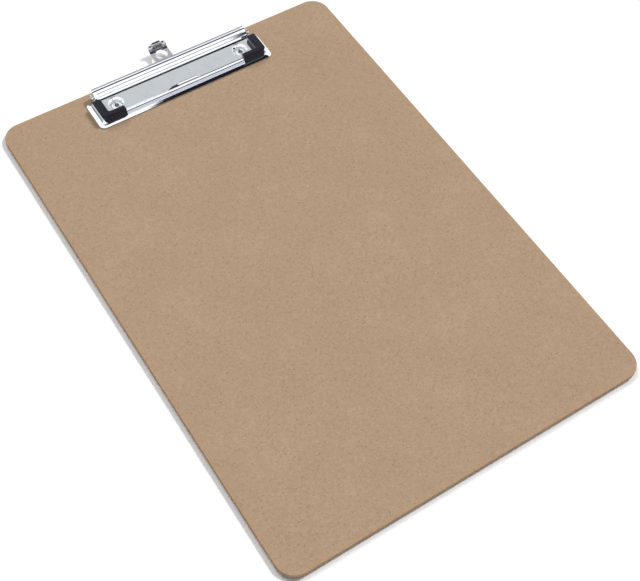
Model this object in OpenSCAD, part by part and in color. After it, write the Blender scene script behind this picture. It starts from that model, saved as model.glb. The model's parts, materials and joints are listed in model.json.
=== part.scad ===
// Clipboard: a hardboard writing board with a low sprung clip and a pull-out hanging tongue.
// The origin is the centre of the board's underside, +Y points to the clip, +Z out of the writing face.

/* [Board] */
// Width of the board
board_w = 235; // [180:1:260]
// Length of the board
board_l = 340; // [250:1:380]
// Thickness of the board
board_t = 3; // [2.5:0.1:5]
// Radius of the board's corners
corner_r = 11.5; // [5:0.5:25]

/* [Clip] */
// Width of the jaw over its side flanges
jaw_w = 124.6; // [123.6:0.2:140]
// Width of the lever bar at the back of the jaw
lever_w = 111; // [100:0.5:111]
// Distance from the board's clip edge to the jaw's front edge
jaw_reach = 31.6; // [31.5:0.1:34]
// Thickness of the pressed steel sheet
sheet_t = 0.7; // [0.5:0.05:0.7]
// Height of the stiffening ridge above the board
ridge_h = 4.1; // [4:0.1:5]
// Height of the recessed panel above the board
panel_h = 2.5; // [2.5:0.05:2.7]
// Height of the lever's back lip above the board
lip_h = 7.1; // [7.1:0.1:8.5]

/* [Grips] */
// Length of a rubber grip along the front of the jaw
grip_front_l = 16.4; // [10:0.1:20]
// Length of a rubber grip along the side of the jaw
grip_side_l = 17; // [12:0.1:17.5]
// Width of a grip's front arm
grip_front_w = 4.5; // [4.4:0.05:5.2]
// Width of a grip's side arm
grip_side_w = 5.6; // [4.8:0.05:5.8]
// Height of the grip's top above the board
grip_h = 6.6; // [5.5:0.1:7]

/* [Hinge] */
// Radius of the hinge pin
pin_r = 1; // [0.8:0.05:1]
// Radial running clearance of the jaw on the pin
pin_clearance = 0.06; // [0.03:0.01:0.1]
// Radius of the spring wire
wire_r = 0.28; // [0.2:0.01:0.28]
// Length of each spring's coil along the pin
coil_l = 10; // [6:0.5:14]
// Distance from the middle of the clip to the inner end of each coil
coil_x = 24; // [14:0.5:36]

/* [Rivets] */
// Distance of each rivet from the middle of the clip
rivet_x = 45.2; // [38:0.1:46]
// Outer radius of the rivet's shank
shank_r = 2.4; // [2:0.05:2.8]
// Radius of the hole through the rivet
eyelet_r = 1.4; // [1:0.05:1.6]
// Radius of the rivet's two rims
rim_r = 3.2; // [3:0.05:3.6]
// Radius of the two access holes in the jaw's panel, at the mouth of their funnels
access_r = 4.8; // [4.6:0.05:5.2]

/* [Hanger] */
// Width of the hanging tongue
tongue_w = 12.7; // [11:0.1:16]
// Radius of the hole that hangs on a hook
hang_r = 4.05; // [3:0.05:4.2]
// Distance from the board's edge to the middle of the hanging hole
hang_reach = 6.1; // [5.9:0.1:6.5]
// Distance from the board's edge to the fold at the tongue's end
tongue_reach = 11.2; // [11.2:0.1:15]
// Height of the finger tab above the board
tab_h = 5.6; // [4:0.1:6]
// Distance that the tongue slides in
slide_l = 12; // [6:0.5:12]

/* [Hidden] */
$fn = 64;

// How far a cutter runs past the solid that it cuts
cut = 1;

edge_y = board_l / 2;
front_y = edge_y - jaw_reach;
top_z = board_t;

// Hinge axis
pin_y = edge_y - 7.2;
pin_z = top_z + 2.7;
pin_hole_gap = 0.03;

// Outer surface of the flange and ridge: distance in from the jaw's edge, height above the board
ridge_bends = [
    [0, sheet_t],
    [2.3, sheet_t + 0.3],
    [3.4, ridge_h - 1.1],
    [3.9, ridge_h - 1],
    [4.6, ridge_h - 0.15],
    [5.5, ridge_h],
    [6.3, panel_h],
    [7.3, panel_h]
];
ridge_back_y = pin_y - 3.4;
flange_back_y = pin_y - 1.7;
flange_corner_r = 3.4;
flange_back_r = 1.6;
swell_half_w = 14;
swell_top_w = 8;
swell_reach = 1.8;
swell_front_y = front_y + 4.6;
swell_back_y = front_y + 6.3;

// Outer surface of the lever bar: three steps that rise to the back lip
lever_bends = [
    [front_y + 6.3, panel_h],
    [pin_y - 4.45, panel_h],
    [pin_y - 3.2, panel_h + 0.46],
    [pin_y - 2.55, panel_h + 1.38],
    [pin_y - 2.1, panel_h + 1.55],
    [pin_y - 0.8, panel_h + 2.8],
    [pin_y - 0.3, panel_h + 2.98],
    [pin_y + 0.9, lip_h - 0.68],
    [pin_y + 1.5, lip_h - 0.45],
    [pin_y + 2.1, lip_h - 0.02],
    [pin_y + 2.7, lip_h],
    [pin_y + 3.5, lip_h - 0.15]
];

// Hinge lugs under the lever's ends
lug_w = 0.7;
lug_r = 1.9;
lug_neck_w = 2;
lug_x = lever_w / 2 - lug_w;

// Grips: how far they stand back from the jaw's edge and above its flange
grip_side_inset = 3.1;
grip_front_inset = 2.2;
grip_lift = 0.3;

// Base plate
base_w = 104;
base_front_y = front_y + 7;
base_back_y = pin_y + 3.1;
ear_x = 56.6;
ear_t = 0.8;
ear_r = 2.6;

// Pin heads
head_r = 1.6;
head_t = 0.6;
head_gap = 0.05;

// Spring coils
coil_gap = 0.12;
coil_r = pin_r + coil_gap + wire_r;
leg_inset = 1.3 * wire_r;
leg_end = [pin_y - 9, top_z + sheet_t + 0.4];
wire_facets = 24;

// Rivets
rivet_y = edge_y - 18.5;
access_y = rivet_y + 0.7;
funnel_r = 3.8;
funnel_h = 1.1;
funnel_wall = 0.6;
rim_t = 0.6;
shank_gap = 0.1;
counterbore_r = rim_r + 0.5;
counterbore_t = 1;
tail_z = 0.1;

// Tongue and the tunnel that guides it
tongue_gap = 0.06;
tongue_z = top_z + tongue_gap;
foot_half_w = 9.4;
foot_l = 2.6;
tunnel_back_y = base_back_y;
tunnel_front_y = pin_y - 1.5;
foot_back_y = tunnel_front_y - 0.2;
foot_front_y = foot_back_y - foot_l;
window_front_y = foot_front_y - slide_l - 0.2;
window_half_w = foot_half_w + 0.3;
tunnel_half_w = tongue_w / 2 + 0.15;
tunnel_h = sheet_t + 2 * tongue_gap + 0.04;
fold_y = edge_y + tongue_reach;
tab_lean = 28;
crown_w = 6.8;
shoulder_drop = 1.25;

// Rectangle with four round corners, centred
module rounded_rect(w, l, r) {
    square([w - 2 * r, l], center = true);
    square([w, l - 2 * r], center = true);
    for (sx = [-1, 1], sy = [-1, 1])
        translate([sx * (w / 2 - r), sy * (l / 2 - r)]) circle(r);
}

// Rectangle between two Y values, with round front and back corners
module jaw_outline(half_w, y0, y1, r0, r1) {
    translate([-half_w, y0 + r0]) square([2 * half_w, y1 - y0 - r0 - r1]);
    translate([-half_w + r0, y0]) square([2 * (half_w - r0), r0 + r1]);
    translate([-half_w + r1, y1 - r0 - r1]) square([2 * (half_w - r1), r0 + r1]);
    for (side = [-1, 1]) {
        translate([side * (half_w - r0), y0 + r0]) circle(r0);
        translate([side * (half_w - r1), y1 - r1]) circle(r1);
    }
}

// A block from its low corner to its high corner
module block(low, high) {
    translate(low) cube(high - low);
}

// Extrudes an outline drawn in Y and Z along X, centred on x
module along_x(x, l) {
    translate([x, 0, 0]) rotate([90, 0, 90]) linear_extrude(l, center = true) children();
}

// Offset of bend i of the points p from the middle of a strip of thickness t to its side
function unit(v) = v / norm(v);
function left_of(v) = [-v[1], v[0]];
function mitre(a, b, t) = let (n = unit(left_of(a) + left_of(b))) n * t / 2 / (n * left_of(a));
function bend(p, i, t) =
    let (from = max(i, 1), to = min(i, len(p) - 2))
    mitre(unit(p[from] - p[from - 1]), unit(p[to + 1] - p[to]), t);

// Outline of a strip of thickness t whose upper side follows the points p
function strip(p, t) = concat(p, [for (i = [len(p) - 1:-1:0]) p[i] - 2 * bend(p, i, t)]);

// Outline of all that lies under the points p
function under(p) = concat(p, [[p[len(p) - 1][0], -cut], [p[0][0], -cut]]);

// The sector of the jaw, seen from above, that lies nearer to one side flange than to the front
module side_sector(side) {
    far = board_w;
    translate([side * jaw_w / 2, front_y])
        polygon([[0, 0], [side * far, -far], [side * far, far], [-side * far, far]]);
}

// Sweeps an outline of the jaw's edge round its front and both sides, with mitred corners
module round_the_jaw(outline) {
    difference() {
        translate([0, front_y, top_z]) along_x(0, jaw_w) polygon(outline);
        for (side = [-1, 1])
            linear_extrude(board_w) side_sector(side);
    }
    for (side = [-1, 1])
        intersection() {
            translate([side * jaw_w / 2, (front_y + flange_back_y) / 2, top_z])
                rotate([90, 0, 0])
                    linear_extrude(flange_back_y - front_y, center = true)
                        scale([-side, 1]) polygon(outline);
            linear_extrude(board_w) side_sector(side);
        }
}

// A straight wire between two points with the same X
module wire(x, from, to) {
    step = to - from;
    translate([x, from[0], from[1]])
        rotate([-atan2(step[0], step[1]), 0, 0])
            cylinder(h = norm(step), r = wire_r, $fn = wire_facets);
}

module board() {
    color("#b49b83")
    difference() {
        linear_extrude(board_t) rounded_rect(board_w, board_l, corner_r);
        for (side = [-1, 1])
            translate([side * rivet_x, rivet_y, 0]) {
                translate([0, 0, -cut]) cylinder(h = board_t + 2 * cut, r = shank_r + shank_gap);
                translate([0, 0, -cut]) cylinder(h = counterbore_t + cut, r = counterbore_r);
            }
    }
}

// Fixed sheet under the jaw: window and tunnel for the tongue, and two ears that carry the pin
module base_plate() {
    color("#c3c6c9")
    difference() {
        union() {
            block([-base_w / 2, base_front_y, top_z], [base_w / 2, base_back_y, top_z + sheet_t]);
            block([-tunnel_half_w - sheet_t, tunnel_front_y, top_z],
                  [tunnel_half_w + sheet_t, tunnel_back_y, top_z + tunnel_h + sheet_t]);
            block([-ear_x - ear_t, pin_y - ear_r, top_z], [ear_x + ear_t, pin_y + ear_r, top_z + sheet_t]);
            for (side = [-1, 1]) {
                along_x(side * (ear_x + ear_t / 2), ear_t) {
                    translate([pin_y, pin_z]) circle(ear_r);
                    translate([pin_y - ear_r, top_z]) square([2 * ear_r, pin_z - top_z]);
                }
            }
        }
        block([-window_half_w, window_front_y, top_z - cut],
              [window_half_w, tunnel_front_y, top_z + sheet_t + cut]);
        block([-tunnel_half_w, tunnel_front_y - cut, top_z - cut],
              [tunnel_half_w, tunnel_back_y + cut, top_z + tunnel_h]);
        for (side = [-1, 1]) {
            translate([side * rivet_x, rivet_y, top_z - cut])
                cylinder(h = sheet_t + 2 * cut, r = shank_r + shank_gap);
            translate([side * (ear_x + ear_t / 2), pin_y, pin_z])
                rotate([0, 90, 0]) cylinder(h = 2 * ear_t, r = pin_r + pin_hole_gap, center = true);
        }
    }
}

// Hollow rivet with a rim on the base plate and a rolled tail in the board's counterbore
module rivet(side) {
    color("#cfd2d4")
    translate([side * rivet_x, rivet_y, 0])
        difference() {
            union() {
                translate([0, 0, tail_z]) cylinder(h = top_z + sheet_t + rim_t - tail_z, r = shank_r);
                translate([0, 0, top_z + sheet_t]) cylinder(h = rim_t, r = rim_r);
                translate([0, 0, tail_z]) cylinder(h = counterbore_t - tail_z, r = rim_r);
            }
            cylinder(h = top_z + sheet_t + rim_t + cut, r = eyelet_r);
        }
}

module rivet_left() {
    rivet(-1);
}

module rivet_right() {
    rivet(1);
}

module hinge_pin() {
    head_x = ear_x + ear_t + head_gap;
    color("#b9bcc0")
    translate([0, pin_y, pin_z])
        rotate([0, 90, 0]) {
            cylinder(h = 2 * (head_x + head_t), r = pin_r, center = true);
            for (side = [-1, 1])
                translate([0, 0, side * (head_x + head_t / 2)])
                    cylinder(h = head_t, r = head_r, center = true);
        }
}

// Torsion spring: a close coil round the pin, one leg on the base plate and one under the jaw
module spring(side) {
    coil_mid_x = side * (coil_x + coil_l / 2);
    color("#8f9296") {
        difference() {
            translate([coil_mid_x, pin_y, pin_z])
                rotate([0, 90, 0]) cylinder(h = coil_l, r = coil_r + wire_r, center = true);
            translate([coil_mid_x, pin_y, pin_z])
                rotate([0, 90, 0]) cylinder(h = coil_l + 2 * cut, r = pin_r + coil_gap, center = true);
        }
        for (end = [-1, 1]) {
            leg_x = coil_mid_x + end * (coil_l / 2 - leg_inset);
            wire(leg_x, [pin_y, pin_z - coil_r], leg_end);
        }
    }
}

module spring_left() {
    spring(-1);
}

module spring_right() {
    spring(1);
}

// The widening of the ridge at its middle, made smaller by inset on each side
module swell(inset, low, high, front) {
    back = swell_back_y + swell_reach - inset;
    translate([0, 0, low])
        linear_extrude(high - low)
            polygon([
                [-swell_half_w + inset, front],
                [-swell_half_w + inset, swell_back_y - inset],
                [-swell_top_w + inset, back],
                [swell_top_w - inset, back],
                [swell_half_w - inset, swell_back_y - inset],
                [swell_half_w - inset, front]
            ]);
}

// One pressed sheet: flange, raised ridge, recessed panel, lever bar and hinge lugs
module jaw_plate() {
    panel_z = top_z + panel_h;
    ridge_foot_x = jaw_w / 2 - ridge_bends[1][0];
    lever = [for (p = lever_bends) p + [0, top_z]];
    color("#c9ced3")
    difference() {
        union() {
            difference() {
                intersection() {
                    round_the_jaw(strip(ridge_bends, sheet_t));
                    translate([0, 0, top_z])
                        linear_extrude(2 * ridge_h)
                            jaw_outline(jaw_w / 2, front_y, flange_back_y, flange_corner_r, flange_back_r);
                }
                block([-ridge_foot_x, ridge_back_y, top_z - cut], [ridge_foot_x, edge_y, top_z + lip_h]);
            }
            swell(0, panel_z - sheet_t, top_z + ridge_h, swell_front_y);
            along_x(0, lever_w) polygon(strip(lever, sheet_t));
            for (side = [-1, 1]) {
                along_x(side * (lug_x + lug_w / 2), lug_w)
                    intersection() {
                        union() {
                            translate([pin_y, pin_z]) circle(lug_r);
                            translate([pin_y - lug_neck_w / 2, pin_z]) square([lug_neck_w, lip_h]);
                        }
                        polygon(under([for (p = lever) p - [0, sheet_t / 2]]));
                    }
                translate([side * rivet_x, access_y, panel_z - funnel_h])
                    cylinder(h = funnel_h, r1 = funnel_r + funnel_wall, r2 = access_r + funnel_wall);
            }
        }
        swell(sheet_t, top_z, top_z + ridge_h - sheet_t, swell_front_y - sheet_t);
        for (side = [-1, 1]) {
            translate([side * rivet_x, access_y, panel_z - funnel_h])
                cylinder(h = funnel_h, r1 = funnel_r, r2 = access_r);
            translate([side * rivet_x, access_y, panel_z - funnel_h - cut])
                cylinder(h = 2 * cut, r = funnel_r);
            translate([side * (lug_x + lug_w / 2), pin_y, pin_z])
                rotate([0, 90, 0]) cylinder(h = 2 * lug_w, r = pin_r + pin_clearance, center = true);
        }
    }
}

// L-shaped rubber cap over one front corner of the ridge
module grip(side) {
    outer_x = jaw_w / 2 - grip_side_inset;
    front = front_y + grip_front_inset;
    low_z = top_z + sheet_t + grip_lift;
    color("#3a3642")
    difference() {
        scale([side, 1, 1]) {
            block([outer_x - grip_front_l, front, low_z], [outer_x, front + grip_front_w, top_z + grip_h]);
            block([outer_x - grip_side_w, front, low_z], [outer_x, front + grip_side_l, top_z + grip_h]);
        }
        round_the_jaw(under(ridge_bends));
        block([-outer_x, swell_back_y - cut, top_z - cut], [outer_x, edge_y, top_z + panel_h]);
    }
}

module grip_left() {
    grip(-1);
}

module grip_right() {
    grip(1);
}

// Side outline of the tongue from its foot to the top of the leaning tab
function tongue_line(top) =
    let (flat_z = tongue_z + sheet_t)
    [[foot_front_y, flat_z], [fold_y, flat_z], [fold_y + (top - flat_z) * tan(tab_lean), top]];

// Flat tongue with a T-shaped foot, a hanging hole and a finger tab that is higher in its middle
module hanger() {
    color("#aeb2b6")
    difference() {
        union() {
            block([-foot_half_w, foot_front_y, tongue_z], [foot_half_w, foot_back_y, tongue_z + sheet_t]);
            along_x(0, tongue_w) polygon(strip(tongue_line(top_z + tab_h - shoulder_drop), sheet_t));
            along_x(0, crown_w) polygon(strip(tongue_line(top_z + tab_h), sheet_t));
        }
        translate([0, edge_y + hang_reach, tongue_z - cut]) cylinder(h = sheet_t + 2 * cut, r = hang_r);
    }
}

board();
base_plate();
rivet_left();
rivet_right();
hinge_pin();
spring_left();
spring_right();
jaw_plate();
grip_left();
grip_right();
hanger();
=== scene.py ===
"""A hardboard clipboard with a low sprung clip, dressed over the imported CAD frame.

Lengths are in metres, in the frame's axes: +Y points to the clip and +Z out of the writing face. The tables
of bends are in millimetres, with heights above the board.
"""
import json
import math

import bmesh
import bpy
from mathutils import Matrix, Vector
from mathutils.geometry import delaunay_2d_cdt


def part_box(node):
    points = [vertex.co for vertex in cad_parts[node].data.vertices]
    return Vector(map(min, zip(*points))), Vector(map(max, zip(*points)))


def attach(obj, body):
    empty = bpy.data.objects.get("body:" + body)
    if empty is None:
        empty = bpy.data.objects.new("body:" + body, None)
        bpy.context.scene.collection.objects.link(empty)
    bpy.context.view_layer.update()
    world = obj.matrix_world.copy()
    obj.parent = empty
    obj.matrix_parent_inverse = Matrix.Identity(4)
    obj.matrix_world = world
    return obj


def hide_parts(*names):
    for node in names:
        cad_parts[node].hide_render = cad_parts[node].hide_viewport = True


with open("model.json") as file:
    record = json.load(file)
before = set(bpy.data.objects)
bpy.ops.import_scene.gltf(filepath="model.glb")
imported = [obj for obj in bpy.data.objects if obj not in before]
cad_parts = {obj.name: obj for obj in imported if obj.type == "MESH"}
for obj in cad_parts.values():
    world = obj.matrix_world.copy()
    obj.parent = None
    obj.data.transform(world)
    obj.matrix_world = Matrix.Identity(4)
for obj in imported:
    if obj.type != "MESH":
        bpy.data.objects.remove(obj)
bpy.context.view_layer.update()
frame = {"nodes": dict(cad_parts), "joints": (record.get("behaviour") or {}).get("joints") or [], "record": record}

MM = 0.001


BOARD_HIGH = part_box("board")[1]
JAW_LOW, JAW_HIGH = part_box("jaw_plate")
PIN_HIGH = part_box("hinge_pin")[1]
TONGUE_LOW, TONGUE_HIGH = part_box("hanger")
HINGE = Vector(next(j for j in frame["joints"] if j["name"] == "jaw_hinge")["pos_m"])

TOP = BOARD_HIGH.z
BOARD_CORNER = 11.5 * MM
BOARD_EASE = 0.35 * MM
# The rivet holes in the board: bore, then counterbore in the underside
HOLE_RADIUS, SINK_RADIUS, SINK_DEPTH = 2.5 * MM, 3.7 * MM, 1 * MM

SHEET = 0.7 * MM
BURR = 0.06 * MM
SHARP = math.radians(32)
SOFT_SHARP = math.radians(60)


# Camera

CAMERA_PLACE = (-0.2279, -0.3358, 0.5802)
CAMERA_TURN, CAMERA_TILT, CAMERA_ROLL = -35.67, 32.91, 3.69
CAMERA_LENS = 67.295


def rotation(axis, degrees):
    return Matrix.Rotation(math.radians(degrees), 4, axis)


def add_camera():
    """The long lens that looks down on the clip from the near left."""
    data = bpy.data.cameras.new("camera")
    data.sensor_width = 36
    data.lens = CAMERA_LENS
    data.clip_start = 0.01
    camera = bpy.data.objects.new("camera", data)
    bpy.context.scene.collection.objects.link(camera)
    place = Matrix.Translation(CAMERA_PLACE)
    aim = rotation("Z", CAMERA_TURN) @ rotation("X", CAMERA_TILT) @ rotation("Z", CAMERA_ROLL)
    camera.matrix_world = place @ aim
    bpy.context.scene.camera = camera


# Node helpers

class Shader:
    """A small wrapper that adds and links the nodes of one material or world."""

    def __init__(self, owner):
        owner.use_nodes = True
        self.tree = owner.node_tree
        self.tree.nodes.clear()

    def add(self, kind, **settings):
        node = self.tree.nodes.new("ShaderNode" + kind)
        for key, value in settings.items():
            setattr(node, key, value)
        return node

    def link(self, value, socket):
        if isinstance(value, bpy.types.NodeSocket):
            self.tree.links.new(value, socket)
        elif value is not None:
            socket.default_value = value

    def math(self, operation, a, b=None, c=None, clamp=False):
        node = self.add("Math", operation=operation, use_clamp=clamp)
        for value, socket in zip((a, b, c), node.inputs):
            self.link(value, socket)
        return node.outputs[0]

    def ramp(self, factor, stops, smooth=False):
        node = self.add("ValToRGB")
        node.color_ramp.interpolation = "EASE" if smooth else "LINEAR"
        elements = node.color_ramp.elements
        while len(elements) < len(stops):
            elements.new(0.5)
        for element, (place, colour) in zip(elements, stops):
            element.position = place
            element.color = (*colour, 1)
        self.link(factor, node.inputs[0])
        return node.outputs[0]

    def mix(self, factor, a, b):
        node = self.add("Mix", data_type="RGBA")
        self.link(factor, node.inputs[0])
        self.link((*a, 1) if isinstance(a, tuple) else a, node.inputs[6])
        self.link((*b, 1) if isinstance(b, tuple) else b, node.inputs[7])
        return node.outputs[2]

    def noise(self, vector, scale, detail=2, distortion=0):
        node = self.add("TexNoise")
        self.link(vector, node.inputs["Vector"])
        node.inputs["Scale"].default_value = scale
        node.inputs["Detail"].default_value = detail
        node.inputs["Distortion"].default_value = distortion
        return node.outputs["Fac"]

    def shives(self, vector, rare, size):
        """Small dark slivers at the middle of a few cells, 1 on a sliver and 0 elsewhere."""
        node = self.add("TexVoronoi", voronoi_dimensions="2D", feature="F1")
        self.link(vector, node.inputs["Vector"])
        node.inputs["Scale"].default_value = 1
        chosen = self.add("SeparateColor")
        self.link(node.outputs["Color"], chosen.inputs[0])
        return self.math("MULTIPLY", self.span(node.outputs["Distance"], size, 0.4 * size),
                         self.span(chosen.outputs[0], rare, rare + 0.01))

    def stretch(self, vector, scale, turn=0):
        node = self.add("Mapping")
        self.link(vector, node.inputs["Vector"])
        node.inputs["Scale"].default_value = scale
        node.inputs["Rotation"].default_value = (0, 0, math.radians(turn))
        return node.outputs[0]

    def span(self, value, low, high):
        """0 below low, 1 above high."""
        node = self.add("MapRange", interpolation_type="SMOOTHSTEP")
        self.link(value, node.inputs[0])
        node.inputs[1].default_value = low
        node.inputs[2].default_value = high
        return node.outputs[0]

    def bump(self, height, distance, strength=1):
        node = self.add("Bump")
        node.inputs["Strength"].default_value = strength
        node.inputs["Distance"].default_value = distance
        self.link(height, node.inputs["Height"])
        return node.outputs[0]

    def surface(self, colour, roughness, metallic=0, normal=None, specular=0.5):
        node = self.add("BsdfPrincipled")
        self.link((*colour, 1) if isinstance(colour, tuple) else colour, node.inputs["Base Color"])
        self.link(roughness, node.inputs["Roughness"])
        self.link(metallic, node.inputs["Metallic"])
        self.link(normal, node.inputs["Normal"])
        self.link(specular, node.inputs["Specular IOR Level"])
        out = self.add("OutputMaterial")
        self.tree.links.new(node.outputs[0], out.inputs["Surface"])
        return node


def material(name):
    made = bpy.data.materials.new(name)
    return made, Shader(made)


# Materials

# Dark slivers in the board: cells per metre, turn in degrees, rarity, size as a share of a cell, strength
SHIVES = [((170, 560, 1), 25, 0.8, 0.13, 0.55), ((520, 150, 1), 20, 0.82, 0.13, 0.5),
          ((240, 330, 1), -50, 0.86, 0.13, 0.7), ((60, 80, 1), 40, 0.8, 0.03, 0.85)]


def hardboard():
    """Pressed fibre: faint clouds, fine fibres, dark shives, warmer cut edges and a mesh-marked back."""
    made, s = material("hardboard")
    place = s.add("TexCoord").outputs["Object"]
    clouds = s.noise(place, 30, 3)
    fibres = s.noise(s.stretch(place, (820, 480, 820), 35), 1, 4, 1.4)
    cross_fibres = s.noise(s.stretch(place, (480, 820, 820), 20), 1, 4, 1.4)
    tone = s.math("ADD", s.math("MULTIPLY", clouds, 0.1), s.math("MULTIPLY", fibres, 0.3))
    tone = s.math("ADD", tone, s.math("MULTIPLY", cross_fibres, 0.3))
    dark, middle, pale = (0.322, 0.224, 0.145), (0.413, 0.292, 0.193), (0.506, 0.361, 0.243)
    colour = s.ramp(tone, [(0.2, dark), (0.35, middle), (0.5, pale)])
    for cell, turn, rare, size, depth in SHIVES:
        shives = s.shives(s.stretch(place, cell, turn), rare, size)
        colour = s.mix(s.math("MULTIPLY", shives, depth), colour, (0.2, 0.12, 0.075))
    axes = s.add("SeparateXYZ")
    s.link(place, axes.inputs[0])
    rim_width = 4 * MM
    side_x = s.math("SUBTRACT", s.math("ABSOLUTE", axes.outputs[0]), BOARD_HIGH.x - rim_width)
    side_y = s.math("SUBTRACT", s.math("ABSOLUTE", axes.outputs[1]), BOARD_HIGH.y - rim_width)
    rim = s.span(s.math("MAXIMUM", side_x, side_y), 0, rim_width)
    colour = s.mix(s.math("MULTIPLY", rim, 0.22), colour, (0.48, 0.29, 0.165))
    mesh_rate = 4300
    warp, weft = (s.math("SINE", s.math("MULTIPLY", axes.outputs[k], mesh_rate)) for k in (0, 1))
    weave = s.math("MULTIPLY", warp, weft)
    back = s.math("SUBTRACT", 1, s.span(axes.outputs[2], 0, 0.4 * MM))
    height = s.math("ADD", s.math("MULTIPLY", fibres, 0.15), s.math("MULTIPLY", weave, back))
    s.surface(colour, s.math("ADD", 0.5, s.math("MULTIPLY", fibres, 0.12)),
              normal=s.bump(height, 0.06 * MM), specular=0.04)
    return made


def plated(name, colour, roughness, marks=0.05):
    """Bright plating with faint clouding and fine handling scratches."""
    made, s = material(name)
    place = s.add("TexCoord").outputs["Object"]
    scratches = s.noise(s.stretch(place, (90, 5200, 5200), 12), 1, 2)
    clouds = s.noise(place, 220, 3)
    rough = s.math("ADD", roughness, s.math("MULTIPLY", s.math("SUBTRACT", clouds, 0.5), marks))
    worn = tuple(0.86 * c for c in colour)
    tint = s.mix(s.math("MULTIPLY", s.span(clouds, 0.45, 0.75), 0.35), colour, worn)
    s.surface(tint, rough, metallic=1, normal=s.bump(scratches, 0.0015 * MM))
    return made


def drawn_steel(name, colour, roughness):
    """Wire and rod drawn along X, with fine lines along the draw."""
    made, s = material(name)
    place = s.add("TexCoord").outputs["Object"]
    lines = s.noise(s.stretch(place, (150, 6000, 6000)), 1, 2)
    tint = s.mix(s.math("MULTIPLY", lines, 0.5), colour, tuple(0.6 * c for c in colour))
    s.surface(tint, s.math("ADD", roughness, s.math("MULTIPLY", lines, 0.15)), metallic=1,
              normal=s.bump(lines, 0.003 * MM))
    return made


def satin_rubber():
    """Moulded rubber: near black with a violet cast and a very fine grain."""
    made, s = material("satin_rubber")
    place = s.add("TexCoord").outputs["Object"]
    grain = s.noise(place, 5200, 2)
    clouds = s.noise(place, 300, 2)
    colour = s.mix(clouds, (0.006, 0.005, 0.011), (0.014, 0.012, 0.023))
    s.surface(colour, s.math("ADD", 0.27, s.math("MULTIPLY", grain, 0.12)),
              normal=s.bump(grain, 0.012 * MM), specular=0.27)
    return made


# Outlines

def arc(centre, radius, start, end, steps):
    """Points on an arc, with angles in degrees."""
    angles = [math.radians(start + (end - start) * k / steps) for k in range(steps + 1)]
    return [(centre[0] + radius * math.cos(a), centre[1] + radius * math.sin(a)) for a in angles]


def rounded(points, radii, step=12, count=None):
    """A polyline with an arc at each inner point, cut every few degrees or into a set count of parts."""
    points = [Vector(p) for p in points]
    out = [points[0]]
    for i in range(1, len(points) - 1):
        back, ahead = points[i - 1] - points[i], points[i + 1] - points[i]
        half = back.angle(ahead) / 2
        radius = radii[i - 1] if isinstance(radii, (list, tuple)) else radii
        reach = min(radius / math.tan(half), 0.47 * back.length, 0.47 * ahead.length)
        radius = reach * math.tan(half)
        towards = (back.normalized() + ahead.normalized()).normalized()
        centre = points[i] + towards * radius / math.sin(half)
        first = points[i] + back.normalized() * reach - centre
        last = points[i] + ahead.normalized() * reach - centre
        turn = math.atan2(first.cross(last), first.dot(last))
        steps = count or max(1, math.ceil(abs(math.degrees(turn)) / step))
        for k in range(steps + 1):
            spin = Matrix.Rotation(turn * k / steps, 2)
            out.append(centre + spin @ first)
    out.append(points[-1])
    return out


def inside(point, loop):
    """Whether a point lies inside a closed outline."""
    x, y = point
    hit = False
    for (x0, y0), (x1, y1) in zip(loop, loop[1:] + loop[:1]):
        if (y0 > y) != (y1 > y) and x < x0 + (y - y0) * (x1 - x0) / (y1 - y0):
            hit = not hit
    return hit


def fill(loop, holes=(), creases=()):
    """Triangles that fill an outline around its holes, split along the creases."""
    loops = [[tuple(p) for p in l] for l in (loop, *holes)]
    points, edges = [], []
    for ring in loops:
        first = len(points)
        points += [Vector(p) for p in ring]
        edges += [(first + k, first + (k + 1) % len(ring)) for k in range(len(ring))]
    for start, end in creases:
        edges.append((len(points), len(points) + 1))
        points += [Vector(start), Vector(end)]
    made = delaunay_2d_cdt(points, edges, [], 0, 1e-8)
    corners, triangles = made[0], made[2]
    kept = []
    for t in triangles:
        middle = sum((corners[i] for i in t), Vector((0, 0))) / 3
        if inside(middle, loops[0]) and not any(inside(middle, h) for h in loops[1:]):
            kept.append(tuple(t))
    return corners, kept


# Meshes

class Builder:
    """Collects the faces of one piece and merges the points that touch."""

    def __init__(self):
        self.mesh = bmesh.new()

    def faces(self, points, faces):
        made = [self.mesh.verts.new(p) for p in points]
        for f in faces:
            if len(set(f)) > 2:
                self.mesh.faces.new([made[i] for i in f])

    def grid(self, rows, wrap=False):
        """Quads between successive rows of points."""
        width = len(rows[0])
        points = [p for row in rows for p in row]
        quads = []
        for r in range(len(rows) - 1):
            for c in range(width if wrap else width - 1):
                d = (c + 1) % width
                quads.append((r * width + c, r * width + d, (r + 1) * width + d, (r + 1) * width + c))
        self.faces(points, quads)

    def finish(self, name, look, up=None, weld=0.4e-6):
        bmesh.ops.remove_doubles(self.mesh, verts=self.mesh.verts, dist=weld)
        bmesh.ops.dissolve_degenerate(self.mesh, edges=self.mesh.edges, dist=weld)
        loose = [v for v in self.mesh.verts if not v.link_faces]
        bmesh.ops.delete(self.mesh, geom=loose, context="VERTS")
        bmesh.ops.recalc_face_normals(self.mesh, faces=self.mesh.faces)
        if up is not None:
            nearest = min(self.mesh.faces, key=lambda f: (f.calc_center_median() - Vector(up)).length)
            if nearest.normal.z < 0:
                bmesh.ops.reverse_faces(self.mesh, faces=self.mesh.faces)
        data = bpy.data.meshes.new(name)
        self.mesh.to_mesh(data)
        self.mesh.free()
        data.materials.append(look)
        obj = bpy.data.objects.new(name, data)
        bpy.context.scene.collection.objects.link(obj)
        return obj


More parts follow.
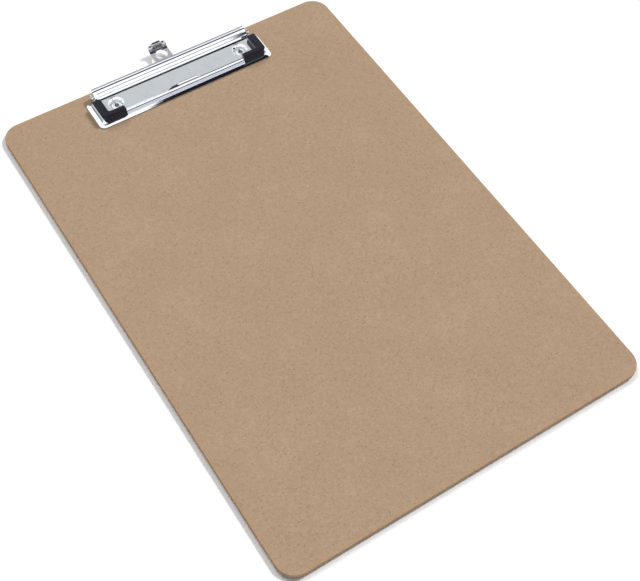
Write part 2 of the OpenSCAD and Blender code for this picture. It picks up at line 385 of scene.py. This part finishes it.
def settle(obj, sharp=SHARP):
    """Applies the modifiers and smooths the shading except over sharp edges."""
    graph = bpy.context.evaluated_depsgraph_get()
    graph.update()
    data = bpy.data.meshes.new_from_object(obj.evaluated_get(graph))
    data.name = obj.name
    obj.modifiers.clear()
    obj.data = data
    data.shade_smooth()
    data.set_sharp_from_angle(angle=sharp)
    flats = obj.modifiers.new("flats", "WEIGHTED_NORMAL")
    flats.keep_sharp = True
    flats.weight = 100
    return obj


def thicken(obj, thickness=SHEET, offset=-1):
    mod = obj.modifiers.new("sheet", "SOLIDIFY")
    mod.thickness = thickness
    mod.offset = offset
    mod.use_even_offset = True


def soften(obj, width=BURR, segments=2, angle=40):
    mod = obj.modifiers.new("edges", "BEVEL")
    mod.width = width
    mod.segments = segments
    mod.limit_method = "ANGLE"
    mod.angle_limit = math.radians(angle)


def lathe(name, profile, look, place, axis="Z", sides=48):
    """A turned piece: the closed profile's points are (radius, distance along the axis)."""
    rows = []
    for k in range(sides):
        a = 2 * math.pi * k / sides
        rows.append([Vector((r * math.cos(a), r * math.sin(a), z)) for r, z in profile])
    columns = [[row[i] for row in rows] for i in range(len(profile))]
    columns.append(columns[0])
    build = Builder()
    build.grid(columns, wrap=True)
    obj = build.finish(name, look)
    turn = Matrix.Rotation(math.radians(90), 4, "Y") if axis == "X" else Matrix.Identity(4)
    obj.data.transform(Matrix.Translation(place) @ turn)
    return settle(obj)


# Board

def board_outline(steps=12):
    radius = BOARD_CORNER
    x, y = BOARD_HIGH.x - radius, BOARD_HIGH.y - radius
    loop = []
    for cx, cy, start in ((x, y, 0), (-x, y, 90), (-x, -y, 180), (x, -y, 270)):
        loop += arc((cx, cy), radius, start, start + 90, steps)
    return loop


def circle(centre, radius, sides=40):
    return arc(centre, radius, 0, 360, sides)[:-1]


def tube_rows(centre, profile, sides=40):
    """Rings about a vertical line: profile points are (radius, height)."""
    return [[Vector((x, y, z)) for x, y in circle(centre, r, sides)] for r, z in profile]


def add_board(look):
    """The board with eased edges and stepped rivet holes."""
    ease = BOARD_EASE
    base = board_outline()
    rivet_spots = [rivet_place(side) for side in (-1, 1)]

    def inset_loop(inset):
        """The outline drawn in by the same distance all round."""
        loop = []
        for x, y in base:
            past_x = max(abs(x) - (BOARD_HIGH.x - BOARD_CORNER), 0)
            past_y = max(abs(y) - (BOARD_HIGH.y - BOARD_CORNER), 0)
            pull = Vector((past_x, past_y)).normalized() * inset
            loop.append((x - math.copysign(pull.x, x), y - math.copysign(pull.y, y)))
        return loop

    build = Builder()
    rim = [(ease, TOP)]
    rim += [(ease * (1 - math.sin(a)), TOP - ease * (1 - math.cos(a))) for a in (0.5, 1.05, math.pi / 2)]
    rim += [(ease * (1 - math.cos(a)), ease * (1 - math.sin(a))) for a in (0, 0.52, 1.07, math.pi / 2)]
    build.grid([[Vector((x, y, z)) for x, y in inset_loop(i)] for i, z in rim], wrap=True)
    for z, radius in ((TOP, HOLE_RADIUS), (0, SINK_RADIUS)):
        corners, triangles = fill(inset_loop(ease), [circle(s, radius) for s in rivet_spots])
        build.faces([Vector((*c, z)) for c in corners], triangles)
    steps = [(HOLE_RADIUS, TOP), (HOLE_RADIUS, SINK_DEPTH), (SINK_RADIUS, SINK_DEPTH), (SINK_RADIUS, 0)]
    for spot in rivet_spots:
        build.grid(tube_rows(spot, steps), wrap=True)
    board = build.finish("board_panel", look)
    settle(board)
    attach(board, "board")
    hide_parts("board")


def rivet_place(side):
    """The centre of one rivet, seen from above."""
    low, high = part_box("rivet_left" if side < 0 else "rivet_right")
    return ((low.x + high.x) / 2, (low.y + high.y) / 2)


# Jaw

FLANGE_CORNER = 3.4 * MM
RIDGE_CORNER = 2 * MM
RIDGE_BACK = HINGE.y - 3.4 * MM
FLANGE_BACK = HINGE.y - 1.7 * MM
FLANGE_WIDTH = 2.4 * MM
FLANGE_BACK_RADIUS = 1.6 * MM
PANEL = TOP + 2.5 * MM
PANEL_EDGE = 6.2 * MM
PANEL_BACK = HINGE.y - 5.3 * MM
PRESSED_END = 1.2 * MM
# The side arms' back ends: where they are cut, where the end's level climbs to the panel, and a low bead
END_CUTS = [0, 0.3, 0.7, 1.1, 1.4, 1.7, 2.1]
END_CLIMB_START, END_CLIMB_LENGTH = 2.3 * MM, 4 * MM
FLANGE_BEAD, FLANGE_BEAD_PLACE, FLANGE_BEAD_HALF = 0.16 * MM, 1.4 * MM, 0.5 * MM
# The outer surface of flange and ridge: distance in from the jaw's edge, height
RIDGE = [(0, 0.64), (1.2, 0.815), (2.55, 1.035), (2.95, 1.876), (3.38, 2.78), (4.05, 3.02), (4.7, 3.9),
         (4.83, 3.94), (4.91, 3.96), (4.99, 3.98), (5.07, 4), (5.3, 4.04), (6.2, 2.5), (7.3, 2.5)]
RIDGE_RADII = [4, 0.25, 1, 0.2, 0.2, 0.4, 1, 1, 1, 1, 0.5, 0.5]
# How much farther in some lines of the ridge run at the jaw's ends: distance in, extra distance
SIDE_SPREAD = [(2.55, 0), (2.95, 0.31), (3.38, 0.87), (4.05, 0.45), (4.7, 0), (7.3, 0)]
# The swell behind the ridge's middle: distance in from the edge, then the shift back and the lift
SWELL = [(4.78, 0, 0), (4.91, 0.6, 0), (4.99, 0.85, 0.12), (5.07, 1.5, 0.6), (5.4, 1.75, 0.63),
         (6.2, 1.75, 0)]
# The same at the swell's left end, and where one gives way to the other
SWELL_LEFT = [(4.78, 0, 0), (4.91, 0.25, 0), (4.99, 0.7, 0.16), (5.07, 1.3, 0.4), (5.4, 1.4, 0.44),
              (6.2, 1.4, 0)]
SWELL_CHANGE_X, SWELL_CHANGE_LENGTH = -6.5 * MM, 2 * MM
SWELL_HALF, SWELL_TOP = 14 * MM, 8 * MM
# The jaw's front is cut every millimetre as far as this from its middle
SWELL_REACH = 24
LEVER_HALF = 55.5 * MM
# The outer surface of the lever bar: distance behind the pin, height
LEVER = [(-5.3, 2.5), (-4.45, 2.5), (-3.2, 2.96), (-2.5, 3.94), (-2, 3.96), (-0.77, 5.32), (-0.38, 5.46),
         (0.8, 6.38), (1.6, 6.69), (2.1, 7.08), (2.5, 7.09), (3.55, 6.87), (3.65, 6.5)]
LEVER_RADII = [0.3, 0.25, 0.3, 0.35, 0.3, 0.3, 0.3, 0.3, 0.25, 0.5, 0.35]
# Where the lever bar widens to its full width, and where its lip's corners draw in, behind the pin
LEVER_SPREAD_START, LEVER_SPREAD_LENGTH = -4 * MM, 0.5 * MM
LIP_START, LIP_CORNER = 2.6 * MM, 0.5 * MM
# The funnels pressed round the access holes: radius, height
FUNNEL = [(5.7, 2.5), (4.8, 2.5), (3.8, 1.4)]
FUNNEL_RADIUS, FUNNEL_OFFSET, FUNNEL_SIDES = 0.7 * MM, 0.7 * MM, 56
# The hinge lugs, in the plane of the pin's end: the neck's two corners, the round eye and its bore
LUG_NECK = [(1.0, 2.9), (-0.9, 2.0)]
LUG_RADIUS, LUG_BORE = 1.9 * MM, 1.06 * MM


def in_metres(points):
    return [(a * MM, b * MM) for a, b in points]


def smooth(t):
    t = min(max(t, 0), 1)
    return t * t * (3 - 2 * t)


def follow(table, d):
    """Reads a table of (distance, values...) between its rows."""
    d = min(max(d / MM, table[0][0]), table[-1][0])
    for (d0, *low), (d1, *high) in zip(table, table[1:]):
        if d <= d1:
            return [a + (b - a) * (d - d0) / (d1 - d0) for a, b in zip(low, high)]


def swell(x, d):
    """How far the ridge bulges back and up at x, for the line d in from the edge."""
    across = MM * smooth((SWELL_HALF - abs(x)) / (SWELL_HALF - SWELL_TOP))
    share = smooth((x - SWELL_CHANGE_X) / SWELL_CHANGE_LENGTH)
    pairs = zip(follow(SWELL_LEFT, d), follow(SWELL, d))
    return [across * (a + (b - a) * share) for a, b in pairs]


def jaw_line(d, h, corner_steps=8):
    """One line of the sheet round the jaw: up the left side, along the front and down the right side."""
    half, front = JAW_HIGH.x - d - follow(SIDE_SPREAD, d)[0] * MM, JAW_LOW.y + d
    radius = max(FLANGE_CORNER - d, RIDGE_CORNER)
    start = front + radius
    on_flange = d < FLANGE_WIDTH
    back = FLANGE_BACK if on_flange else RIDGE_BACK
    if d < FLANGE_BACK_RADIUS:
        back -= FLANGE_BACK_RADIUS - math.sqrt(FLANGE_BACK_RADIUS ** 2 - (FLANGE_BACK_RADIUS - d) ** 2)
    if d > PANEL_EDGE:
        back = PANEL_BACK

    blend = smooth((d - END_CLIMB_START) / END_CLIMB_LENGTH)
    end_level = min(h, TOP + (1 + 1.5 * blend) * MM)
    left = []
    for gone in [g * MM for g in END_CUTS] + [(back - start) * f for f in (0.5, 0.8)]:
        rise = math.sqrt(max(0, 1 - (1 - min(gone / PRESSED_END, 1)) ** 2))
        z = end_level + (h - end_level) * rise
        if on_flange:
            z = h + FLANGE_BEAD * smooth(1 - abs(gone - FLANGE_BEAD_PLACE) / FLANGE_BEAD_HALF)
        left.append(Vector((-half, back - gone, z)))
    left += [Vector((x, y, h)) for x, y in arc((-half + radius, start), radius, 180, 270, corner_steps)]

    middle = []
    for x in (k * MM for k in range(-SWELL_REACH, SWELL_REACH + 1)):
        back_by, up_by = swell(x, d)
        middle.append(Vector((x, front + back_by, h + up_by)))
    right = [Vector((-p.x, p.y, p.z)) for p in reversed(left)]
    return left + middle + right


def lever_rows(count=38):
    """Rows of points across the lever bar, from the panel's back edge up to the lip."""
    panel_half = JAW_HIGH.x - RIDGE[-1][0] * MM
    rows = []
    for y, h in rounded(in_metres(LEVER), [r * MM for r in LEVER_RADII]):
        spread = smooth((y - LEVER_SPREAD_START) / LEVER_SPREAD_LENGTH)
        half = panel_half + (LEVER_HALF - panel_half) * spread - LIP_CORNER * smooth((y - LIP_START) / MM)
        rows.append([Vector((half * (2 * k / count - 1), HINGE.y + y, TOP + h)) for k in range(count + 1)])
    return rows


def add_jaw(look):
    """The pressed jaw: flange, ridge, sunk panel with two funnels, stepped lever bar and hinge lugs."""
    build = Builder()
    profile = rounded(in_metres(RIDGE), [r * MM for r in RIDGE_RADII])
    lines = [jaw_line(d, TOP + h) for d, h in profile]
    build.grid(lines)

    rows = lever_rows()
    build.grid(rows)

    funnel = rounded(in_metres(FUNNEL), FUNNEL_RADIUS)
    spots = [(x, y + FUNNEL_OFFSET) for x, y in (rivet_place(-1), rivet_place(1))]
    for spot in spots:
        build.grid(tube_rows(spot, [(r, TOP + h) for r, h in funnel], FUNNEL_SIDES), wrap=True)
    loop = [(p.x, p.y) for p in lines[-1]] + [(p.x, p.y) for p in reversed(rows[0][1:-1])]
    corners, triangles = fill(loop, [circle(s, funnel[0][0], FUNNEL_SIDES) for s in spots])
    build.faces([Vector((*c, PANEL)) for c in corners], triangles)
    jaw = build.finish("jaw_sheet", look, up=(0, HINGE.y - 8 * MM, PANEL))
    thicken(jaw)
    soften(jaw)
    settle(jaw)
    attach(jaw, "jaw")
    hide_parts("jaw_plate")
    add_lugs(look)


def add_lugs(look):
    """The two ears under the lever's ends that turn on the pin."""
    loop = in_metres(LUG_NECK) + arc((0, 0), LUG_RADIUS, 150, 390, 20)
    for side in (-1, 1):
        build = Builder()
        corners, triangles = fill(loop, [circle((0, 0), LUG_BORE, 24)])
        build.faces([Vector((0, c[0], c[1])) for c in corners], triangles)
        lug = build.finish("lug_left" if side < 0 else "lug_right", look)
        thicken(lug, offset=0)
        soften(lug)
        lug.data.transform(Matrix.Translation((side * (LEVER_HALF - SHEET / 2), HINGE.y, HINGE.z)))
        settle(lug)
        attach(lug, "jaw")
        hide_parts("jaw_plate")


# Rubber grips

# The grip's section: distance in and height on the front arm, then on the side arm, in millimetres
GRIP_SKIN_FRONT = [(2.25, 1.05), (2.45, 2.1), (3.25, 3.3), (3.4, 6.6), (6.9, 6.6), (6.7, 2.5)]
GRIP_SKIN_SIDE = [(4, 2.95), (3.85, 3.15), (3.7, 3.5), (2.7, 6.6), (9.1, 6.6), (8.1, 2.5)]
GRIP_SKIN_RADII = [0.3, 0.3, 1.1, 0.9]
GRIP_ARC_PARTS = 5
GRIP_HOLLOW_FRONT = [(6.55, 2.52), (6.35, 2.52), (5.55, 4.13), (4.6, 3.98), (3.87, 3.13), (3.37, 3.03),
                     (2.3, 1.05)]
GRIP_HOLLOW_SIDE = [(7.7, 2.52), (6.35, 2.52), (5.55, 4.13), (4.7, 4.02), (4.4, 3.4), (4.25, 3.15),
                    (4.05, 2.97)]
# The plan radius at the corner, outside and on the inner wall
GRIP_CORNER, GRIP_INNER_CORNER = 2.5 * MM, 1.2 * MM
# The middles of the front and side arms, and the length over which an arm's end is rounded
FRONT_MIDDLE, SIDE_MIDDLE, GRIP_END = 4.6 * MM, 6 * MM, 1.2 * MM
GRIP_FADES = [0, 0.1, 0.25, 0.45, 0.7, 1]


def grip_section():
    """Matching points of the two arms' sections: (front, side, plan radius at the corner, on the skin)."""
    radii = [r * MM for r in GRIP_SKIN_RADII]
    fronts = rounded(in_metres(GRIP_SKIN_FRONT), radii, count=GRIP_ARC_PARTS)
    sides = rounded(in_metres(GRIP_SKIN_SIDE), radii, count=GRIP_ARC_PARTS)
    outer = len(fronts) - (GRIP_ARC_PARTS + 2)
    section = []
    for i, (f, g) in enumerate(zip(fronts, sides)):
        section.append((f, g, GRIP_CORNER if i < outer else GRIP_INNER_CORNER, True))
    for f, g in zip(in_metres(GRIP_HOLLOW_FRONT), in_metres(GRIP_HOLLOW_SIDE)):
        section.append((f, g, max(FLANGE_CORNER - f[0], RIDGE_CORNER), False))
    return section


def add_grip(side, look):
    """An L-shaped cap pressed over one front corner of the ridge."""
    name = "grip_left" if side < 0 else "grip_right"
    low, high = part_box(name)
    inner = min(abs(low.x), abs(high.x))
    section = grip_section()

    def drawn_in(d, h, middle, gone):
        """Pulls the skin in near an arm's end, so that the end is round."""
        full = math.sqrt(max(0, 1 - (1 - min(gone / GRIP_END, 1)) ** 2))
        base = 4.2 * MM if abs(d - middle) < 2 * MM else 2.6 * MM
        base = min(base, h)
        return middle + (d - middle) * (0.86 + 0.14 * full), base + (h - base) * (0.45 + 0.55 * full)

    def front_ring(x, gone=None):
        ring = []
        for (d, h), _, _, skin in section:
            if skin and gone is not None:
                d, h = drawn_in(d, h, FRONT_MIDDLE, gone)
            ring.append(Vector((x, JAW_LOW.y + d, TOP + h)))
        return ring

    def side_ring(y, gone=None):
        ring = []
        for _, (d, h), _, skin in section:
            if skin and gone is not None:
                d, h = drawn_in(d, h, SIDE_MIDDLE, gone)
            ring.append(Vector((JAW_HIGH.x - d, y, TOP + h)))
        return ring

    def corner_ring(degrees):
        ring = []
        a = math.radians(degrees)
        for (df, hf), (ds, hs), radius, _ in section:
            centre_x, centre_y = JAW_HIGH.x - ds - radius, JAW_LOW.y + df + radius
            share = smooth((degrees + 90) / 90)
            h = hf + (hs - hf) * share
            ring.append(Vector((centre_x + radius * math.cos(a), centre_y + radius * math.sin(a), TOP + h)))
        return ring

    ends = [f * GRIP_END for f in GRIP_FADES]
    rows = [front_ring(inner + gone, gone) for gone in ends]
    rows.append(front_ring((inner + JAW_HIGH.x - 11.5 * MM) / 2 + 0.5 * MM))
    rows += [corner_ring(a) for a in range(-90, 1, 15)]
    rows.append(side_ring(high.y - 5 * MM))
    rows += [side_ring(high.y - gone, gone) for gone in reversed(ends)]
    rows = [[Vector((side * p.x, p.y, p.z)) for p in r] for r in rows]
    build = Builder()
    build.grid(rows, wrap=True)
    for r in (rows[0], rows[-1]):
        build.faces(r, [tuple(range(len(r)))])
    grip = build.finish(name + "_cap", look)
    settle(grip, SOFT_SHARP)
    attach(grip, "jaw")
    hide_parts(name)


# Rivets, pin and springs

# The hollow rivet: radius and height above the board's underside, up the bore and back down the outside
RIVET = [(1.4, 0.6), (1.4, 3.95), (1.5, 4.16), (1.75, 4.28), (2.2, 4.3), (2.75, 4.2), (3.1, 3.98),
         (3.2, 3.7), (2.4, 3.7), (2.4, 1.0), (3.1, 1.0), (3.2, 0.75), (2.9, 0.35), (2.3, 0.12),
         (1.75, 0.15), (1.5, 0.32)]
# The spring's wire and coil radii, its turns, and how many points draw one turn
WIRE, COIL, COIL_TURNS, TURN_POINTS = 0.28 * MM, 1.38 * MM, 17, 20


def add_rivet(side, look):
    """A hollow rivet: rolled rim on the base plate, turned tail in the board's counterbore."""
    name = "rivet_left" if side < 0 else "rivet_right"
    rivet = lathe(name + "_eyelet", in_metres(RIVET), look, (*rivet_place(side), 0))
    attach(rivet, "board")
    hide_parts(name)


def add_pin(look):
    """The hinge pin, with a small domed head at each end."""
    reach = PIN_HIGH.x / MM
    end = [(reach, 0.02), (reach - 0.03, 0.8), (reach - 0.15, 1.3), (reach - 0.35, 1.58),
           (reach - 0.58, 1.6), (reach - 0.6, 1.0)]
    profile = [(r, -x) for x, r in end] + [(r, x) for x, r in reversed(end)]
    pin = lathe("hinge_rod", in_metres(profile), look, HINGE, "X", 32)
    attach(pin, "board")
    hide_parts("hinge_pin")


def sweep(build, points, radius, sides=8):
    """A round wire along a path."""
    rows = []
    for i, p in enumerate(points):
        ahead = (points[min(i + 1, len(points) - 1)] - points[max(i - 1, 0)]).normalized()
        across = ahead.cross(Vector((1, 0.01, 0.02))).normalized()
        other = ahead.cross(across)
        rows.append([p + radius * (math.cos(a) * across + math.sin(a) * other)
                     for a in (2 * math.pi * k / sides for k in range(sides))])
    build.grid(rows, wrap=True)
    for r in (rows[0], rows[-1]):
        build.faces(r, [tuple(range(sides))])


def add_spring(side, look):
    """A close coil round the pin whose two legs bear near the front."""
    name = "spring_left" if side < 0 else "spring_right"
    low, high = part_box(name)
    first, last = low.x + WIRE, high.x - WIRE
    path = []
    for k in range(COIL_TURNS * TURN_POINTS + 1):
        a = -math.pi / 2 - 2 * math.pi * k / TURN_POINTS
        x = first + (last - first) * k / (COIL_TURNS * TURN_POINTS)
        path.append(Vector((x, HINGE.y + COIL * math.cos(a), HINGE.z + COIL * math.sin(a))))
    build = Builder()
    sweep(build, path, WIRE)
    for x, top in ((first, path[0]), (last, path[-1])):
        foot = Vector((x, low.y + WIRE, TOP + 1.1 * MM))
        sweep(build, [foot + (top - foot) * f for f in (0, 0.5, 1)], WIRE)
    spring = build.finish(name + "_coil", look)
    settle(spring, SOFT_SHARP)
    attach(spring, "board")
    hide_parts(name)


# Hanger

TONGUE_HALF = 6.35 * MM
TONGUE_LEVEL = TONGUE_LOW.z + SHEET / 2
FOOT_BACK = TONGUE_LOW.y + 2.6 * MM
FOLD_START, FOLD_END = BOARD_HIGH.y + 9.1 * MM, BOARD_HIGH.y + 11 * MM
# Slopes of the ramp before the fold, of the tab and of its lip
RAMP, LEAN, LIP = math.radians(21), math.radians(59), math.radians(20)
RAMP_BEND, FOLD_RADIUS, LIP_RADIUS = 0.3 * MM, 0.45 * MM, 0.3 * MM
HANG_RADIUS = 4.05 * MM
# Where the tab's columns of points stand, out from its middle, and the ramp's rows, in millimetres
TAB_XS = [6.35, 6, 5.5, 5, 4.5, 4.1, 3.8, 3.6, 3.4, 3.2, 3, 2.6, 2, 1, 0]
RAMP_ROWS = [0, 0.1, 0.2, 0.3, 0.8, 1.4]
# The tab's length in millimetres: its shoulders, what its middle adds, and what its corners lose
TAB_LENGTH, CROWN_LENGTH, CORNER_LOSS = 2.2, 1.3, 0.6
# Where the raised middle ends and the corners begin, out from the tab's middle, and how wide each change is
CROWN_HALF, CROWN_EDGE = 3.7 * MM, 0.8 * MM
CORNER_START, CORNER_WIDTH = 5.6 * MM, 0.75 * MM
LIP_LENGTH = 1.2 * MM


def ramp_height(y):
    """The height of the tongue at y: level, then up the ramp after a gentle start."""
    past = max(y - FOLD_START, 0)
    rise = past * past / (2 * RAMP_BEND) if past < RAMP_BEND else past - RAMP_BEND / 2
    return TONGUE_LEVEL + math.tan(RAMP) * rise


def bend(points, start, end, radius, steps=6):
    """Rows that carry a row of points round a bend, from one slope to another."""
    out = []
    turn = 1 if end > start else -1
    for k in range(1, steps + 1):
        a = start + (end - start) * k / steps
        move = Vector((0, turn * (math.sin(a) - math.sin(start)), turn * (math.cos(start) - math.cos(a))))
        out.append([p + radius * move for p in points])
    return out


def tongue_outline(xs):
    """The flat tongue seen from above, from its T-shaped foot to the row of points at the fold."""
    foot_half = TONGUE_HIGH.x
    loop = [(-foot_half, TONGUE_LOW.y), (foot_half, TONGUE_LOW.y), (foot_half, FOOT_BACK)]
    loop += [(TONGUE_HALF, FOOT_BACK), (TONGUE_HALF, FOLD_START)] + [(x, FOLD_END) for x in xs]
    return loop + [(-TONGUE_HALF, FOLD_START), (-TONGUE_HALF, FOOT_BACK), (-foot_half, FOOT_BACK)]


def tab_rows(first):
    """The leaning tab, up from the fold's last row: its middle stands proud of its shoulders."""
    along = Vector((0, math.cos(LEAN), math.sin(LEAN)))
    rows = []
    for f in (0.3, 0.6, 0.85, 1):
        row = []
        for p in first:
            raised = smooth((CROWN_HALF - abs(p.x)) / CROWN_EDGE)
            corner = smooth((abs(p.x) - CORNER_START) / CORNER_WIDTH) ** 2
            steep = Vector((0, -0.07 * raised, 0.04 * raised))
            length = f * MM * (TAB_LENGTH + CROWN_LENGTH * raised - CORNER_LOSS * corner)
            row.append(p + length * (along + steep))
        rows.append(row)
    return rows


def add_hanger(look):
    """The tongue: T-shaped foot, hanging hole and a leaning tab with a raised middle and a turned lip."""
    hole_place = next(m for m in frame["record"]["mounts"] if m["name"] == "hanger_hole")["pos_m"]
    xs = [x * MM for x in TAB_XS] + [-x * MM for x in reversed(TAB_XS[:-1])]
    creases = []
    for f in RAMP_ROWS:
        creases.append(((-TONGUE_HALF, FOLD_START + f * MM), (TONGUE_HALF, FOLD_START + f * MM)))
    build = Builder()
    corners, triangles = fill(tongue_outline(xs), [circle(hole_place[:2], HANG_RADIUS, 48)], creases)
    build.faces([Vector((*c, ramp_height(c[1]))) for c in corners], triangles)

    rows = [[Vector((x, FOLD_END, ramp_height(FOLD_END))) for x in xs]]
    rows += bend(rows[0], RAMP, LEAN, FOLD_RADIUS)
    rows += tab_rows(rows[-1])
    rows += bend(rows[-1], LEAN, LIP, LIP_RADIUS)
    rows.append([p + LIP_LENGTH * Vector((0, math.cos(LIP), math.sin(LIP))) for p in rows[-1]])
    build.grid(rows)
    hanger = build.finish("hanger_tongue", look, up=(0, FOOT_BACK, TONGUE_LEVEL))
    thicken(hanger, offset=0)
    soften(hanger, 0.1 * MM)
    settle(hanger)
    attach(hanger, "hanger")
    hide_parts("hanger")


# Base plate

def dress_base_plate(look):
    """The base plate keeps its CAD mesh and gets its own plating."""
    node = frame["nodes"]["base_plate"]
    node.data.materials.clear()
    node.data.materials.append(look)


# Set

def add_floor():
    """A plain pale floor that stays white under the suns."""
    made, s = material("floor_white")
    place = s.add("TexCoord").outputs["Object"]
    grain = s.noise(place, 900, 2)
    s.surface(s.mix(grain, (0.965, 0.965, 0.965), (0.985, 0.985, 0.985)), 0.9, specular=0)
    build = Builder()
    reach = 3
    corners = ((-reach, -reach), (reach, -reach), (reach, reach), (-reach, reach))
    build.faces([Vector((x, y, -0.02 * MM)) for x, y in corners], [(0, 1, 2, 3)])
    floor = build.finish("floor", made)


def add_sun(name, towards, energy, degrees):
    """One broad soft light that the plating does not mirror."""
    data = bpy.data.lights.new(name, "SUN")
    data.energy = energy
    data.angle = math.radians(degrees)
    light = bpy.data.objects.new(name, data)
    light.visible_glossy = False
    bpy.context.scene.collection.objects.link(light)
    light.rotation_euler = Vector(towards).to_track_quat("Z", "Y").to_euler()


# How far along X a reflection has to lean before the black strips take over, and how that border slants
DARK_SIDE_X, DARK_SIDE_SLANT = 0.257 - 0.5 * 66 / 180, 0.5


def add_surroundings():
    """A studio seen only in the plating, and an even sky that lights everything else.

    The plating sees strips that run along X. A strip's place is its angle in degrees round the X axis: 0 at
    the far horizon, 90 straight up and 180 at the near horizon. Walls close both ends of X.
    """
    world = bpy.data.worlds.new("studio")
    bpy.context.scene.world = world
    s = Shader(world)
    axes = s.add("SeparateXYZ")
    s.link(s.add("TexCoord").outputs["Generated"], axes.inputs[0])
    x, y, z = axes.outputs
    turn = s.math("DIVIDE", s.math("ARCTAN2", z, y), math.pi)
    white, lilac, blue = (1.15, 1.17, 1.2), (0.64, 0.66, 0.75), (0.617, 0.648, 0.66)
    haze, mist = (0.38, 0.4, 0.43), (0.3, 0.31, 0.34)
    grey, black = (0.045, 0.05, 0.06), (0.012, 0.012, 0.02)

    def strips(stops):
        """Plain strips with a soft step of two degrees between them."""
        places = []
        for start, end, colour in stops:
            places += [((start + 1) / 180, colour), ((end - 1) / 180, colour)]
        return s.ramp(turn, places)

    far = [(0, 22, white), (22, 42, mist), (42, 58, blue)]
    near = [(104, 168, white), (168, 180, lilac)]
    light_side = strips(far + [(58, 80, white), (80, 104, grey)] + near)
    dark_side = strips(far + [(58, 104, black)] + near)
    slant = s.math("SUBTRACT", x, s.math("MULTIPLY", turn, DARK_SIDE_SLANT))
    edge = s.span(slant, DARK_SIDE_X - 0.002, DARK_SIDE_X + 0.002)
    colour = s.mix(edge, light_side, dark_side)
    near_card = s.math("MULTIPLY", s.span(turn, 130 / 180, 132 / 180), s.span(turn, 148 / 180, 146 / 180))
    colour = s.mix(s.math("MULTIPLY", s.span(x, 0.339, 0.342), near_card), colour, black)
    left_wall = s.mix(s.span(z, 0.12, 0.5), haze, white)
    low_card = s.math("MULTIPLY", s.span(x, -0.45, -0.5), s.span(z, 0.17, 0.14))
    left_wall = s.mix(low_card, left_wall, grey)
    right_wall = s.mix(s.span(z, 0, 0.35), haze, white)
    colour = s.mix(s.span(x, 0.08, 0.14), left_wall, colour)
    colour = s.mix(s.span(x, 0.38, 0.43), colour, right_wall)
    colour = s.mix(s.add("LightPath").outputs["Is Diffuse Ray"], colour, (0.23, 0.23, 0.235))
    back = s.add("Background")
    s.link(colour, back.inputs[0])
    out = s.add("OutputWorld")
    s.tree.links.new(back.outputs[0], out.inputs["Surface"])


add_camera()
add_floor()
add_sun("right_light", (1.05, 0.22, 1), 2.35, 12)
add_sun("far_light", (0.1, 1, 1), 1.5, 30)
add_surroundings()
bpy.context.scene.view_settings.view_transform = "Standard"

chrome = plated("chrome", (0.9, 0.915, 0.935), 0.035, 0.02)
nickel = plated("nickel", (0.84, 0.84, 0.85), 0.14)
plate_nickel = plated("plate_nickel", (0.8, 0.81, 0.82), 0.2)
rubber = satin_rubber()

add_board(hardboard())
dress_base_plate(plate_nickel)
add_jaw(chrome)
for which in (-1, 1):
    add_grip(which, rubber)
    add_rivet(which, nickel)
    add_spring(which, drawn_steel("spring_wire", (0.5, 0.5, 0.52), 0.25))
add_pin(drawn_steel("pin_rod", (0.66, 0.67, 0.69), 0.2))
add_hanger(plated("hanger_plating", (0.66, 0.64, 0.66), 0.12))
